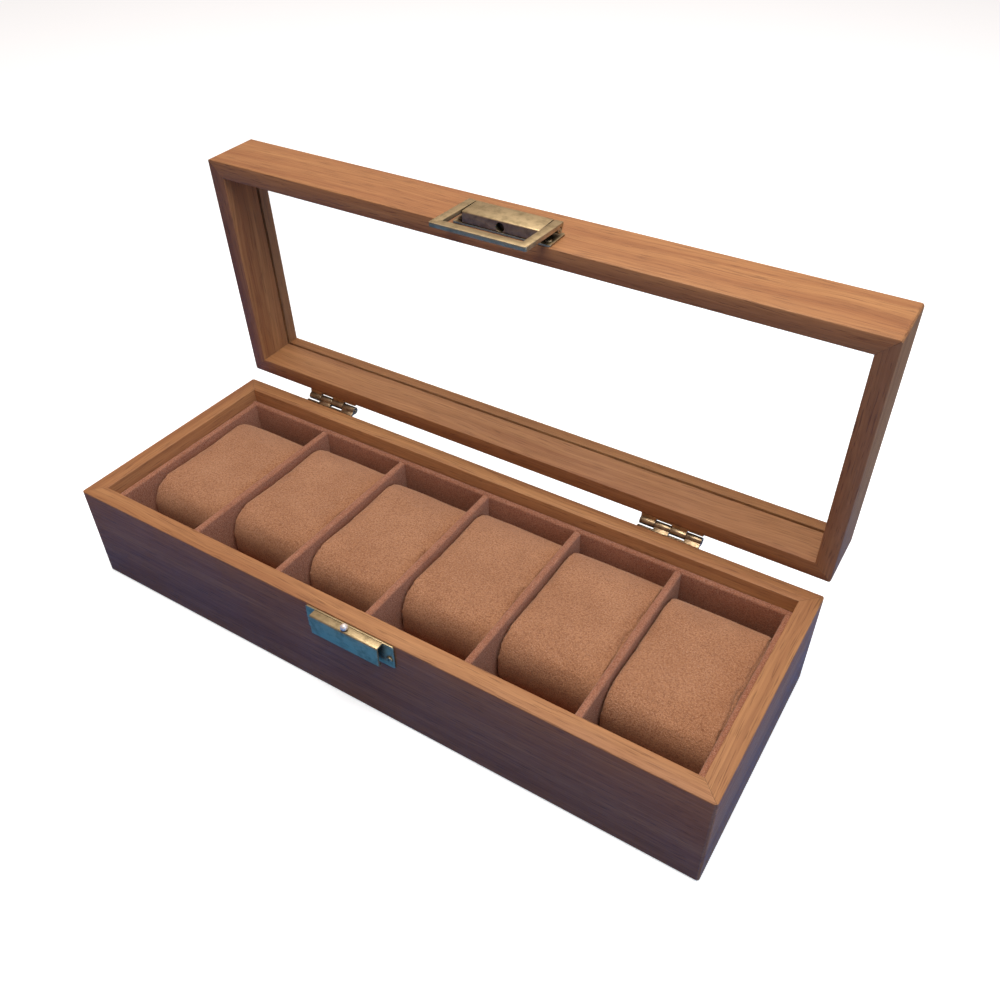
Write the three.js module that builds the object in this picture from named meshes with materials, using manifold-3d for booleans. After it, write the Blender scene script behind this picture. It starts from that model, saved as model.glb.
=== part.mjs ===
// Six-slot watch box: open wooden base with a suede tray and six pillows, and a glazed lid that
// swings back on two hinges and shuts with a hooked frame. Millimetres, +X along the box, +Z up,
// the origin in the middle of the underside. The lid stands open against its hinge stop.
import * as THREE from 'three';
import { mergeVertices } from 'three/addons/utils/BufferGeometryUtils.js';
import Module from 'manifold-3d';

const wasm = await Module();
wasm.setup();

// Case
const BOX_LENGTH = 320;
const BOX_DEPTH = 116;
const BASE_HEIGHT = 51;
const BASE_WALL = 8.4;
const LID_HEIGHT = 29;
const LID_WALL = 8;
const CORNER_ROUND = 1.6;
const FIT_GAP = 0.3;
const GLUE_GAP = 0.08;
const EDGE_ROUND = 0.6;

// Underside
const FOOT_DROP = 0.6;
const FELT_THICKNESS = 2.2;
const FLOOR_THICKNESS = 3.4;

// Suede tray
const SLOT_COUNT = 6;
const TRAY_WALL = 3.2;
const TRAY_TOP = 44.5;
const TRAY_FLOOR = 2;
const DIVIDER_THICKNESS = 3.4;
const SUEDE_ROUND = 1.3;
const SLIP_GAP = 0.1;

// Pillows, and how far behind the middle of the box each one sits
const PILLOW_DEPTH = 73;
const PILLOW_HEIGHT = 33.8;
const PILLOW_ROUND = 16;
const PILLOW_SOFT_EDGE = 2;
const PILLOW_SIDE_GAP = 0.3;
const PILLOW_OFFSETS = [5.4, 8.8, 6.1, 9.3, 9.1, 5.6];

// Glass
const GLASS_THICKNESS = 1.9;
const GLASS_UNDERSIDE = 70.6;
const GROOVE_DEPTH = 4.2;
const LIP_BEVEL = 2.4;

// Hinges
const LID_OPEN_ANGLE = 88;
const HINGE_CENTRES = [-106.3, 88.6];
const HINGE_WIDTH = 30;
const PIN_BEHIND_BACK = 4;
const PIN_ABOVE_RIM = 0.5;
const PIN_RADIUS = 0.6;
const BARREL_RADIUS = 1.9;
const BARREL_BORE = 0.9;
const KNUCKLES = 4;
const LEAF_THICKNESS = 1;
const LEAF_HEIGHT = 12;
const LID_LEAF_EDGE = 0.1;
const BASE_LEAF_EDGE = 0.6;
const LEAF_SCREW_SPACING = 18;
const LEAF_SCREW_FROM_PIN = 7.6;
const CRANK_BEYOND_PIN = 0.5;
const CRANK_BEFORE_PIN = 1.6;
const CRANK_RISE = 1.8;

// Clasp
const CLASP_CENTRE = 1.7;
const CLASP_PLATE_THICKNESS = 0.8;
const CLASP_PLATE_WIDTH = 46;
const CLASP_PLATE_TOP = 64;
const SEAM_CLEARANCE = 0.6;
const TAB_WIDTH = 36.2;
const TAB_TOP = 63.4;
const TAB_FACE = 6;
const TAB_ROUND = 0.6;
const PIVOT_OUT = 3.6;
const PIVOT_HEIGHT = 61;
const PIVOT_ROD_RADIUS = 0.65;
const PIVOT_BORE = 0.95;
const PIVOT_LUG_RADIUS = 1.75;
const FRAME_WIDTH = 44.8;
const FRAME_THICKNESS = 2;
const FRAME_LEG = 3.9;
const FRAME_BAR = 4.2;
const FRAME_REACH = 26.6;
const FRAME_HEEL = 2.4;
const FRAME_REST_TILT = 3;
const FRAME_ROUND = 0.4;
const FRAME_CORNER = 0.7;

// Catch
const CATCH_PLATE_WIDTH = 45.2;
const CATCH_TOP = 50.4;
const CATCH_BOTTOM = 39.2;
const CATCH_PLATE_TOP = 50.5;
const CATCH_PLATE_BOTTOM = 38;
const HOOK_WIDTH = 34.8;
const HOOK_OUT = 4.8;
const HOOK_SHEET = 1;
const HOOK_CURL = 1.2;
const HOOK_CURL_HEIGHT = 0.8;
const HOOK_TIP_RISE = 0.35;
const HOOK_INNER_ROUND = 0.3;
const HOOK_OUTER_ROUND = 0.8;
const HOOK_CURL_ROUND = 0.9;
const BALL_RADIUS = 1.6;
const BALL_CENTRE_HEIGHT = 1.3;
const BALL_OUT = 3.1;
const BALL_HOLE_RADIUS = 2;
const BALL_HOLE_DEPTH = 3;

// Screws
const SCREW_HEAD_RADIUS = 1.5;
const SCREW_HEAD_HEIGHT = 0.7;
const SCREW_SHANK_RADIUS = 0.7;
const SCREW_LENGTH = 5;
const SCREW_SLOT = 0.4;
const SCREW_CLEARANCE = 0.3;
const EAR_SCREW_OFFSET = 20.4;
const CLASP_SCREW_HEIGHT = 55;
const CATCH_SCREW_HEIGHT = 42.6;

// Roundness, and how far a cutter reaches past what it cuts
const ROD_SIDES = 20;
const SCREW_SIDES = 16;
const BORE_SIDES = 10;
const CORNER_STEPS = 3;
const PILLOW_STEPS = 8;
const CUT_REACH = 3;
const WELD_DISTANCE = 1e-4;

// Worked-out sizes
const halfLength = BOX_LENGTH / 2;
const halfDepth = BOX_DEPTH / 2;
const innerHalfLength = halfLength - BASE_WALL;
const innerHalfDepth = halfDepth - BASE_WALL;
const lidBottom = BASE_HEIGHT + FIT_GAP;
const lidTop = BASE_HEIGHT + LID_HEIGHT;
const floorBottom = FELT_THICKNESS + FIT_GAP;
const floorTop = floorBottom + FLOOR_THICKNESS;
const trayBottom = floorTop + FIT_GAP;
const slotBottom = trayBottom + TRAY_FLOOR;
const trayHalfLength = innerHalfLength - SLIP_GAP;
const trayHalfDepth = innerHalfDepth - SLIP_GAP;
const slotsHalfLength = trayHalfLength - TRAY_WALL;
const slotsHalfDepth = trayHalfDepth - TRAY_WALL;
const slotWidth = (2 * slotsHalfLength - (SLOT_COUNT - 1) * DIVIDER_THICKNESS) / SLOT_COUNT;
const slotPitch = slotWidth + DIVIDER_THICKNESS;
const pinY = halfDepth + PIN_BEHIND_BACK;
const pinZ = BASE_HEIGHT + PIN_ABOVE_RIM;
const knucklePitch = HINGE_WIDTH / KNUCKLES;
const frontFace = -halfDepth;
const claspSeam = lidBottom + SEAM_CLEARANCE / 2;

const WOOD = { color: 0x8a5734, roughness: 0.55, metalness: 0 };
const DARK_WOOD = { color: 0x5c3d33, roughness: 0.55, metalness: 0 };
const SUEDE = { color: 0xa86f49, roughness: 0.95, metalness: 0 };
const SUEDE_TRAY = { color: 0x8d5a40, roughness: 0.95, metalness: 0 };
const FELT = { color: 0x2f2622, roughness: 1, metalness: 0 };
const BRASS = { color: 0x9a8450, roughness: 0.4, metalness: 1 };
const STEEL = { color: 0xc9c4bc, roughness: 0.25, metalness: 1 };
const GLASS = { color: 0xe8f0f0, roughness: 0.05, metalness: 0, transparent: true, opacity: 0.25 };

function toSolid(geometry) {
  const bare = geometry.clone();
  bare.deleteAttribute('normal');
  bare.deleteAttribute('uv');
  const merged = mergeVertices(bare, WELD_DISTANCE);
  const vertProperties = new Float32Array(merged.attributes.position.array);
  const triVerts = new Uint32Array(merged.index.array);
  return new wasm.Manifold(new wasm.Mesh({ numProp: 3, vertProperties, triVerts }));
}

function toGeometry(solid) {
  const mesh = solid.getMesh();
  const geometry = new THREE.BufferGeometry();
  geometry.setAttribute('position', new THREE.BufferAttribute(new Float32Array(mesh.vertProperties), 3));
  geometry.setIndex(new THREE.BufferAttribute(new Uint32Array(mesh.triVerts), 1));
  geometry.computeVertexNormals();
  return geometry;
}

function joined(pieces) {
  return pieces.reduce((whole, piece) => whole.add(piece));
}

function cutBy(solid, cutters) {
  return cutters.reduce((rest, cutter) => rest.subtract(cutter), solid);
}

// Each corner is [across, up, radius]; the outline turns from one edge to the next on that radius.
function roundedOutline(corners, steps = CORNER_STEPS) {
  const origin = new THREE.Vector2();
  const points = corners.flatMap(([across, up, radius], index) => {
    const corner = new THREE.Vector2(across, up);
    if (radius === 0) return [corner];
    const [lastAcross, lastUp] = corners.at(index - 1);
    const [nextAcross, nextUp] = corners[(index + 1) % corners.length];
    const back = new THREE.Vector2(lastAcross, lastUp).sub(corner).normalize();
    const ahead = new THREE.Vector2(nextAcross, nextUp).sub(corner).normalize();
    const halfAngle = Math.acos(back.dot(ahead)) / 2;
    const inward = back.clone().add(ahead).normalize();
    const centre = corner.clone().addScaledVector(inward, radius / Math.sin(halfAngle));
    const spoke = corner.clone().addScaledVector(back, radius / Math.tan(halfAngle)).sub(centre);
    const sweep = (Math.PI - 2 * halfAngle) * Math.sign(ahead.cross(back));
    return Array.from({ length: steps + 1 }, (_, step) => (
      spoke.clone().rotateAround(origin, (sweep * step) / steps).add(centre)
    ));
  });
  return new THREE.Shape(points);
}

function rectangle(left, right, bottom, top, radius = 0) {
  return roundedOutline([
    [left, bottom, radius],
    [right, bottom, radius],
    [right, top, radius],
    [left, top, radius],
  ]);
}

function alongZ(outline, bottom, top) {
  const geometry = new THREE.ExtrudeGeometry(outline, { depth: top - bottom, bevelEnabled: false });
  return geometry.translate(0, 0, bottom);
}

// The outline is drawn as (y, z) and swept from one x to the other.
function alongX(outline, from, to) {
  const geometry = new THREE.ExtrudeGeometry(outline, { depth: to - from, bevelEnabled: false });
  const turned = new THREE.Matrix4().makeBasis(
    new THREE.Vector3(0, 1, 0),
    new THREE.Vector3(0, 0, 1),
    new THREE.Vector3(1, 0, 0),
  );
  return geometry.applyMatrix4(turned).translate(from, 0, 0);
}

// The outline is drawn as (x, z) and swept from one y to the other.
function alongY(outline, from, to) {
  const geometry = new THREE.ExtrudeGeometry(outline, { depth: to - from, bevelEnabled: false });
  return geometry.rotateX(Math.PI / 2).translate(0, to, 0);
}

function rodAlongX(radius, from, to, y, z) {
  const rod = new THREE.CylinderGeometry(radius, radius, to - from, ROD_SIDES);
  return rod.rotateZ(Math.PI / 2).translate((from + to) / 2, y, z);
}

function rodAlongY(radius, from, to, x, z, sides = SCREW_SIDES) {
  const rod = new THREE.CylinderGeometry(radius, radius, to - from, sides);
  return rod.translate(x, (from + to) / 2, z);
}

function addPart(parent, name, geometry, look) {
  const mesh = new THREE.Mesh(geometry, new THREE.MeshStandardMaterial(look));
  mesh.name = name;
  parent.add(mesh);
  return mesh;
}

// A board seen from above is a trapezium: long outer face, 45 degree ends, eased outer corners.
function mitrePlan(halfRun, reach, wall, steps = CORNER_STEPS) {
  const arc = Array.from({ length: steps + 1 }, (_, step) => {
    const angle = -Math.PI / 2 + (Math.PI / 4) * (step / steps);
    return [
      halfRun - CORNER_ROUND + CORNER_ROUND * Math.cos(angle) - GLUE_GAP,
      -reach + CORNER_ROUND + CORNER_ROUND * Math.sin(angle),
    ];
  });
  const inner = [halfRun - 2 * wall - GLUE_GAP, -reach + 2 * wall];
  const right = [...arc, inner];
  const left = right.map(([x, y]) => [-x, y]).reverse();
  return new THREE.Shape([...right, ...left].map(([x, y]) => new THREE.Vector2(x, y)));
}

function mitredBoard(profile, halfRun, reach, wall, bottom, top, cutters = []) {
  const run = toSolid(alongX(profile, -halfRun, halfRun));
  const plan = toSolid(alongZ(mitrePlan(halfRun, reach, wall), bottom, top));
  return toGeometry(cutBy(run.intersect(plan), cutters));
}

function baseProfile(reach) {
  const inside = -reach + BASE_WALL;
  return roundedOutline([
    [-reach, FOOT_DROP, EDGE_ROUND],
    [inside, FOOT_DROP, EDGE_ROUND / 2],
    [inside, BASE_HEIGHT, EDGE_ROUND / 2],
    [-reach, BASE_HEIGHT, EDGE_ROUND],
  ]);
}

function lidProfile(reach) {
  const inside = -reach + LID_WALL;
  const grooveBottom = GLASS_UNDERSIDE - FIT_GAP;
  const grooveTop = GLASS_UNDERSIDE + GLASS_THICKNESS + FIT_GAP;
  return roundedOutline([
    [-reach, lidBottom, EDGE_ROUND],
    [inside, lidBottom, EDGE_ROUND / 2],
    [inside, grooveBottom, 0],
    [inside - GROOVE_DEPTH, grooveBottom, 0],
    [inside - GROOVE_DEPTH, grooveTop, 0],
    [inside, grooveTop, 0],
    [inside, lidTop, LIP_BEVEL],
    [-reach, lidTop, EDGE_ROUND],
  ]);
}

function pilotHole(x, z) {
  const radius = SCREW_SHANK_RADIUS + SCREW_CLEARANCE;
  return toSolid(rodAlongY(radius, -SCREW_LENGTH, SCREW_LENGTH, x, z, BORE_SIDES));
}

// Pilot holes are drilled in board coordinates, where the outer face always looks towards -Y.
function frontPilots(reach, spots) {
  return spots.map(([x, z]) => pilotHole(x, z).translate([0, -reach, 0]));
}

// The back board is built facing -Y and then turned half round, so its holes swap sides.
function turnedHalfRound(spots) {
  return spots.map(([x, z]) => [-x, z]);
}

function addFourBoards(parent, prefix, profileAt, wall, bottom, top, frontSpots, backSpots) {
  const sides = [
    { side: 'front', halfRun: halfLength, reach: halfDepth, turn: 0, spots: frontSpots },
    { side: 'right', halfRun: halfDepth, reach: halfLength, turn: 90, spots: [] },
    { side: 'back', halfRun: halfLength, reach: halfDepth, turn: 180, spots: turnedHalfRound(backSpots) },
    { side: 'left', halfRun: halfDepth, reach: halfLength, turn: 270, spots: [] },
  ];
  sides.forEach(({ side, halfRun, reach, turn, spots }) => {
    const holes = frontPilots(reach, spots);
    const board = mitredBoard(profileAt(reach), halfRun, reach, wall, bottom, top, holes);
    const mesh = addPart(parent, `${prefix}_${side}_board`, board, WOOD);
    mesh.rotation.z = THREE.MathUtils.degToRad(turn);
  });
}

function block(left, right, front, back, bottom, top) {
  return alongZ(rectangle(left, right, front, back), bottom, top);
}

// A suede-covered wall has a soft round top edge; its outline is drawn across its thickness.
function softTopped(near, far, bottom, top) {
  return roundedOutline([
    [near, bottom, 0],
    [far, bottom, 0],
    [far, top, SUEDE_ROUND],
    [near, top, SUEDE_ROUND],
  ]);
}

function addTray(parent) {
  const floorHalfLength = slotsHalfLength - SLIP_GAP;
  const floorHalfDepth = slotsHalfDepth - SLIP_GAP;
  const longWall = (near, far) => alongX(
    softTopped(near, far, trayBottom, TRAY_TOP),
    -trayHalfLength,
    trayHalfLength,
  );
  const endWall = (near, far, bottom) => alongY(
    softTopped(near, far, bottom, TRAY_TOP),
    -floorHalfDepth,
    floorHalfDepth,
  );
  const floor = alongZ(
    rectangle(-floorHalfLength, floorHalfLength, -floorHalfDepth, floorHalfDepth),
    trayBottom,
    slotBottom,
  );
  addPart(parent, 'tray_front_wall', longWall(-trayHalfDepth, -slotsHalfDepth), SUEDE_TRAY);
  addPart(parent, 'tray_back_wall', longWall(slotsHalfDepth, trayHalfDepth), SUEDE_TRAY);
  addPart(parent, 'tray_left_wall', endWall(-trayHalfLength, -slotsHalfLength, trayBottom), SUEDE_TRAY);
  addPart(parent, 'tray_right_wall', endWall(slotsHalfLength, trayHalfLength, trayBottom), SUEDE_TRAY);
  addPart(parent, 'tray_floor', floor, SUEDE_TRAY);
  for (let index = 1; index < SLOT_COUNT; index += 1) {
    const middle = (index - SLOT_COUNT / 2) * slotPitch;
    const near = middle - DIVIDER_THICKNESS / 2;
    const divider = endWall(near, near + DIVIDER_THICKNESS, slotBottom + SLIP_GAP);
    addPart(parent, `divider_${index}`, divider, SUEDE_TRAY);
  }
}

function pillow() {
  const core = {
    halfDepth: PILLOW_DEPTH / 2 - PILLOW_SOFT_EDGE,
    halfHeight: PILLOW_HEIGHT / 2 - PILLOW_SOFT_EDGE,
    radius: PILLOW_ROUND - PILLOW_SOFT_EDGE,
    length: slotWidth - 2 * PILLOW_SIDE_GAP - 2 * PILLOW_SOFT_EDGE,
  };
  const section = roundedOutline([
    [-core.halfDepth, -core.halfHeight, core.radius],
    [core.halfDepth, -core.halfHeight, core.radius],
    [core.halfDepth, core.halfHeight, core.radius],
    [-core.halfDepth, core.halfHeight, core.radius],
  ], PILLOW_STEPS);
  const geometry = new THREE.ExtrudeGeometry(section, {
    depth: core.length,
    bevelThickness: PILLOW_SOFT_EDGE,
    bevelSize: PILLOW_SOFT_EDGE,
    bevelSegments: CORNER_STEPS,
  });
  geometry.translate(0, 0, -core.length / 2);
  return geometry.rotateX(Math.PI / 2).rotateZ(Math.PI / 2);
}

function addPillows(parent) {
  PILLOW_OFFSETS.forEach((offset, index) => {
    const mesh = addPart(parent, `pillow_${index + 1}`, pillow(), SUEDE);
    const middle = (index - (SLOT_COUNT - 1) / 2) * slotPitch;
    mesh.position.set(middle, offset, slotBottom + FIT_GAP + PILLOW_HEIGHT / 2);
  });
}

// A slotted screw with its head towards -Y and its shank running into the wood.
function screw() {
  const head = toSolid(rodAlongY(SCREW_HEAD_RADIUS, -SCREW_HEAD_HEIGHT, 0, 0, 0));
  const slotFloor = -SCREW_HEAD_HEIGHT / 2;
  const shank = toSolid(rodAlongY(SCREW_SHANK_RADIUS, slotFloor, SCREW_LENGTH, 0, 0, BORE_SIDES));
  const slot = toSolid(block(-CUT_REACH, CUT_REACH, -CUT_REACH, slotFloor, -SCREW_SLOT / 2, SCREW_SLOT / 2));
  return toGeometry(head.add(shank).subtract(slot));
}

function addScrews(parent, prefix, spots, faceY, turn) {
  spots.forEach(([x, z], index) => {
    const mesh = addPart(parent, `${prefix}_screw_${index + 1}`, screw(), BRASS);
    mesh.position.set(x, faceY, z);
    mesh.rotation.z = turn;
  });
}

// One hinge leaf: a screwed plate, a crank out to the pin and its own two of the four knuckles.
// `up` is 1 for the lid's leaf, which climbs from the pin, and -1 for the base's, which hangs.
function hingeLeaf(up, firstKnuckle) {
  const near = halfDepth + SLIP_GAP;
  const far = near + LEAF_THICKNESS;
  const plateStart = pinZ + (up > 0 ? LID_LEAF_EDGE : -BASE_LEAF_EDGE);
  const plateEnd = plateStart + up * LEAF_HEIGHT;
  const low = Math.min(plateStart, plateEnd);
  const high = Math.max(plateStart, plateEnd);
  const halfWidth = HINGE_WIDTH / 2;
  const plate = toSolid(alongY(rectangle(-halfWidth, halfWidth, low, high, LEAF_THICKNESS / 2), near, far));
  const crank = roundedOutline([
    [near, plateStart + up * 2 * LEAF_THICKNESS, 0],
    [far, plateStart + up * 2 * LEAF_THICKNESS, 0],
    [far, plateStart + up * LEAF_THICKNESS, 0],
    [pinY + CRANK_BEYOND_PIN, pinZ + up * CRANK_RISE, 0],
    [pinY - CRANK_BEFORE_PIN, pinZ, 0],
    [near, plateStart, 0],
  ]);
  const knuckles = [firstKnuckle, firstKnuckle + 2].map((index) => {
    const from = index * knucklePitch - halfWidth + SLIP_GAP;
    const to = from + knucklePitch - 2 * SLIP_GAP;
    const barrel = toSolid(rodAlongX(BARREL_RADIUS, from, to, pinY, pinZ));
    return barrel.add(toSolid(alongX(crank, from, to)));
  });
  const bore = toSolid(rodAlongX(BARREL_BORE, -HINGE_WIDTH, HINGE_WIDTH, pinY, pinZ));
  const holes = [-1, 1].map((side) => {
    const radius = SCREW_SHANK_RADIUS + SCREW_CLEARANCE;
    const x = (side * LEAF_SCREW_SPACING) / 2;
    const from = halfDepth - CUT_REACH;
    return toSolid(rodAlongY(radius, from, halfDepth + CUT_REACH, x, leafScrewHeight(up), BORE_SIDES));
  });
  return toGeometry(cutBy(joined([plate, ...knuckles]), [bore, ...holes]));
}

function leafScrewHeight(up) {
  return pinZ + up * LEAF_SCREW_FROM_PIN;
}

function hingeScrewSpots(up) {
  return HINGE_CENTRES.flatMap((centre) => [-1, 1].map((side) => (
    [centre + (side * LEAF_SCREW_SPACING) / 2, leafScrewHeight(up)]
  )));
}

function earScrewSpots(height) {
  return [-1, 1].map((side) => [CLASP_CENTRE + side * EAR_SCREW_OFFSET, height]);
}

function addHingeLeaves(parent, owner, up, firstKnuckle) {
  HINGE_CENTRES.forEach((centre, index) => {
    const side = index === 0 ? 'left' : 'right';
    const mesh = addPart(parent, `hinge_${side}_${owner}_leaf`, hingeLeaf(up, firstKnuckle), BRASS);
    mesh.position.x = centre;
  });
  const leafFace = halfDepth + SLIP_GAP + LEAF_THICKNESS;
  addScrews(parent, `hinge_${owner}`, hingeScrewSpots(up), leafFace + SLIP_GAP / 2, Math.PI);
}

function addHingePins(parent) {
  HINGE_CENTRES.forEach((centre, index) => {
    const side = index === 0 ? 'left' : 'right';
    const halfPin = HINGE_WIDTH / 2 + SLIP_GAP;
    const pin = rodAlongX(PIN_RADIUS, -halfPin, halfPin, 0, 0);
    addPart(parent, `hinge_${side}_pin`, pin, BRASS).position.set(centre, pinY, pinZ);
  });
}

// A thin plate with eased corners and a screw hole in each ear, screwed to a front face.
function earedPlate(width, bottom, top, screwHeight) {
  const plateBack = frontFace - SLIP_GAP;
  const outline = rectangle(-width / 2, width / 2, bottom, top, CLASP_PLATE_THICKNESS);
  const plate = toSolid(alongY(outline, plateBack - CLASP_PLATE_THICKNESS, plateBack));
  const holes = [-1, 1].map((side) => toSolid(rodAlongY(
    SCREW_SHANK_RADIUS + SCREW_CLEARANCE,
    frontFace - CUT_REACH,
    frontFace + CUT_REACH,
    side * EAR_SCREW_OFFSET,
    screwHeight,
    BORE_SIDES,
  )));
  return toGeometry(cutBy(plate, holes));
}

const plateFace = frontFace - SLIP_GAP - CLASP_PLATE_THICKNESS;
const fittingBack = plateFace - SLIP_GAP;

// The hook is one bent sheet: out from the plate, down in front, and curled in at the bottom.
function catchHook() {
  const outer = frontFace - HOOK_OUT;
  const inner = outer + HOOK_SHEET;
  const curlTop = CATCH_BOTTOM + HOOK_CURL_HEIGHT;
  const section = roundedOutline([
    [fittingBack, CATCH_TOP, 0],
    [fittingBack, CATCH_TOP - HOOK_SHEET, 0],
    [inner, CATCH_TOP - HOOK_SHEET, HOOK_INNER_ROUND],
    [inner, curlTop + HOOK_TIP_RISE, HOOK_CURL_ROUND],
    [inner + HOOK_CURL, CATCH_BOTTOM + HOOK_TIP_RISE, 0],
    [outer + HOOK_CURL, CATCH_BOTTOM, 0],
    [outer, curlTop, HOOK_CURL_ROUND],
    [outer, CATCH_TOP, HOOK_OUTER_ROUND],
  ]);
  return alongX(section, -HOOK_WIDTH / 2, HOOK_WIDTH / 2);
}

function catchBall(steps = 10) {
  const start = Math.asin(-BALL_CENTRE_HEIGHT / BALL_RADIUS);
  const arc = Array.from({ length: steps + 1 }, (_, step) => {
    const angle = start + (Math.PI / 2 - start) * (step / steps);
    const across = step === steps ? 0 : BALL_RADIUS * Math.cos(angle);
    return new THREE.Vector2(across, BALL_CENTRE_HEIGHT + BALL_RADIUS * Math.sin(angle));
  });
  const profile = [new THREE.Vector2(0, arc[0].y), ...arc];
  return new THREE.LatheGeometry(profile, ROD_SIDES).rotateX(Math.PI / 2);
}

function addCatch(parent) {
  const plate = earedPlate(CATCH_PLATE_WIDTH, CATCH_PLATE_BOTTOM, CATCH_PLATE_TOP, CATCH_SCREW_HEIGHT);
  addPart(parent, 'catch_plate', plate, BRASS).position.x = CLASP_CENTRE;
  addPart(parent, 'catch_hook', catchHook(), BRASS).position.x = CLASP_CENTRE;
  const ball = addPart(parent, 'catch_ball', catchBall(), STEEL);
  ball.position.set(CLASP_CENTRE, frontFace - BALL_OUT, CATCH_TOP + SLIP_GAP);
  addScrews(parent, 'catch', earScrewSpots(CATCH_SCREW_HEIGHT), plateFace - SLIP_GAP / 2, 0);
}

function claspTab() {
  const face = frontFace - TAB_FACE;
  const section = rectangle(face, fittingBack, claspSeam, TAB_TOP, TAB_ROUND);
  const body = toSolid(alongX(section, -TAB_WIDTH / 2, TAB_WIDTH / 2));
  const pocket = alongZ(
    new THREE.Shape().absarc(0, frontFace - BALL_OUT, BALL_HOLE_RADIUS, 0, 2 * Math.PI),
    claspSeam - BALL_HOLE_DEPTH,
    claspSeam + BALL_HOLE_DEPTH,
  );
  const bore = rodAlongX(PIVOT_BORE, -TAB_WIDTH, TAB_WIDTH, frontFace - PIVOT_OUT, PIVOT_HEIGHT);
  return toGeometry(cutBy(body, [toSolid(pocket), toSolid(bore)]));
}

// The swinging frame is drawn about its pivot, hanging straight down from it.
function claspFrame() {
  const halfWidth = FRAME_WIDTH / 2;
  const window = halfWidth - FRAME_LEG;
  const barTop = FRAME_BAR - FRAME_REACH;
  const outline = roundedOutline([
    [-halfWidth, FRAME_HEEL, FRAME_ROUND],
    [-halfWidth, -FRAME_REACH, FRAME_CORNER],
    [halfWidth, -FRAME_REACH, FRAME_CORNER],
    [halfWidth, FRAME_HEEL, FRAME_ROUND],
    [window, FRAME_HEEL, FRAME_ROUND],
    [window, barTop, FRAME_ROUND],
    [-window, barTop, FRAME_ROUND],
    [-window, FRAME_HEEL, FRAME_ROUND],
  ]);
  const outerFace = PIVOT_OUT - TAB_FACE;
  const sheet = toSolid(alongY(outline, outerFace, outerFace + FRAME_THICKNESS));
  const lugs = [-1, 1].map((side) => {
    const from = side < 0 ? -halfWidth : window;
    return toSolid(rodAlongX(PIVOT_LUG_RADIUS, from, from + FRAME_LEG, 0, 0));
  });
  const bore = toSolid(rodAlongX(PIVOT_BORE, -FRAME_WIDTH, FRAME_WIDTH, 0, 0));
  return toGeometry(joined([sheet, ...lugs]).subtract(bore));
}

function addClasp(parent) {
  const plate = earedPlate(CLASP_PLATE_WIDTH, claspSeam, CLASP_PLATE_TOP, CLASP_SCREW_HEIGHT);
  addPart(parent, 'clasp_plate', plate, BRASS).position.x = CLASP_CENTRE;
  addPart(parent, 'clasp_tab', claspTab(), BRASS).position.x = CLASP_CENTRE;
  addScrews(parent, 'clasp', earScrewSpots(CLASP_SCREW_HEIGHT), plateFace - SLIP_GAP / 2, 0);
  const halfRod = FRAME_WIDTH / 2 - SLIP_GAP;
  const rod = addPart(parent, 'clasp_pivot_rod', rodAlongX(PIVOT_ROD_RADIUS, -halfRod, halfRod, 0, 0), BRASS);
  rod.position.set(CLASP_CENTRE, frontFace - PIVOT_OUT, PIVOT_HEIGHT);
  const swing = new THREE.Group();
  swing.position.copy(rod.position);
  swing.rotation.x = -THREE.MathUtils.degToRad(FRAME_REST_TILT);
  parent.add(swing);
  addPart(swing, 'clasp_frame', claspFrame(), BRASS);
}

function addGlass(parent) {
  const slip = GROOVE_DEPTH - FIT_GAP;
  const halfPaneLength = halfLength - LID_WALL + slip;
  const halfPaneDepth = halfDepth - LID_WALL + slip;
  const top = GLASS_UNDERSIDE + GLASS_THICKNESS;
  const pane = block(-halfPaneLength, halfPaneLength, -halfPaneDepth, halfPaneDepth, GLASS_UNDERSIDE, top);
  addPart(parent, 'lid_glass', pane, GLASS);
}

function addBase(parent) {
  addFourBoards(
    parent, 'base', baseProfile, BASE_WALL, FOOT_DROP, BASE_HEIGHT,
    earScrewSpots(CATCH_SCREW_HEIGHT), hingeScrewSpots(-1),
  );
  const floorX = innerHalfLength - FIT_GAP;
  const floorY = innerHalfDepth - FIT_GAP;
  addPart(parent, 'base_floor', block(-floorX, floorX, -floorY, floorY, floorBottom, floorTop), DARK_WOOD);
  addPart(parent, 'underside_felt', block(-floorX, floorX, -floorY, floorY, 0, FELT_THICKNESS), FELT);
  addTray(parent);
  addHingeLeaves(parent, 'base', -1, 1);
  addHingePins(parent);
  addCatch(parent);
}

// Lid pieces are drawn where they lie with the box shut, then swung back about the hinge pins.
function addLid(parent) {
  const swing = new THREE.Group();
  swing.position.set(0, pinY, pinZ);
  swing.rotation.x = -THREE.MathUtils.degToRad(LID_OPEN_ANGLE);
  const shut = new THREE.Group();
  shut.position.set(0, -pinY, -pinZ);
  swing.add(shut);
  parent.add(swing);
  addFourBoards(
    shut, 'lid', lidProfile, LID_WALL, lidBottom, lidTop,
    earScrewSpots(CLASP_SCREW_HEIGHT), hingeScrewSpots(1),
  );
  addGlass(shut);
  addHingeLeaves(shut, 'lid', 1, 0);
  addClasp(shut);
}

const watchBox = new THREE.Group();
watchBox.name = 'watch_box';
addBase(watchBox);
addPillows(watchBox);
addLid(watchBox);

export default watchBox;
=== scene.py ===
import math

import bpy
from mathutils import Matrix, Vector


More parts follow.
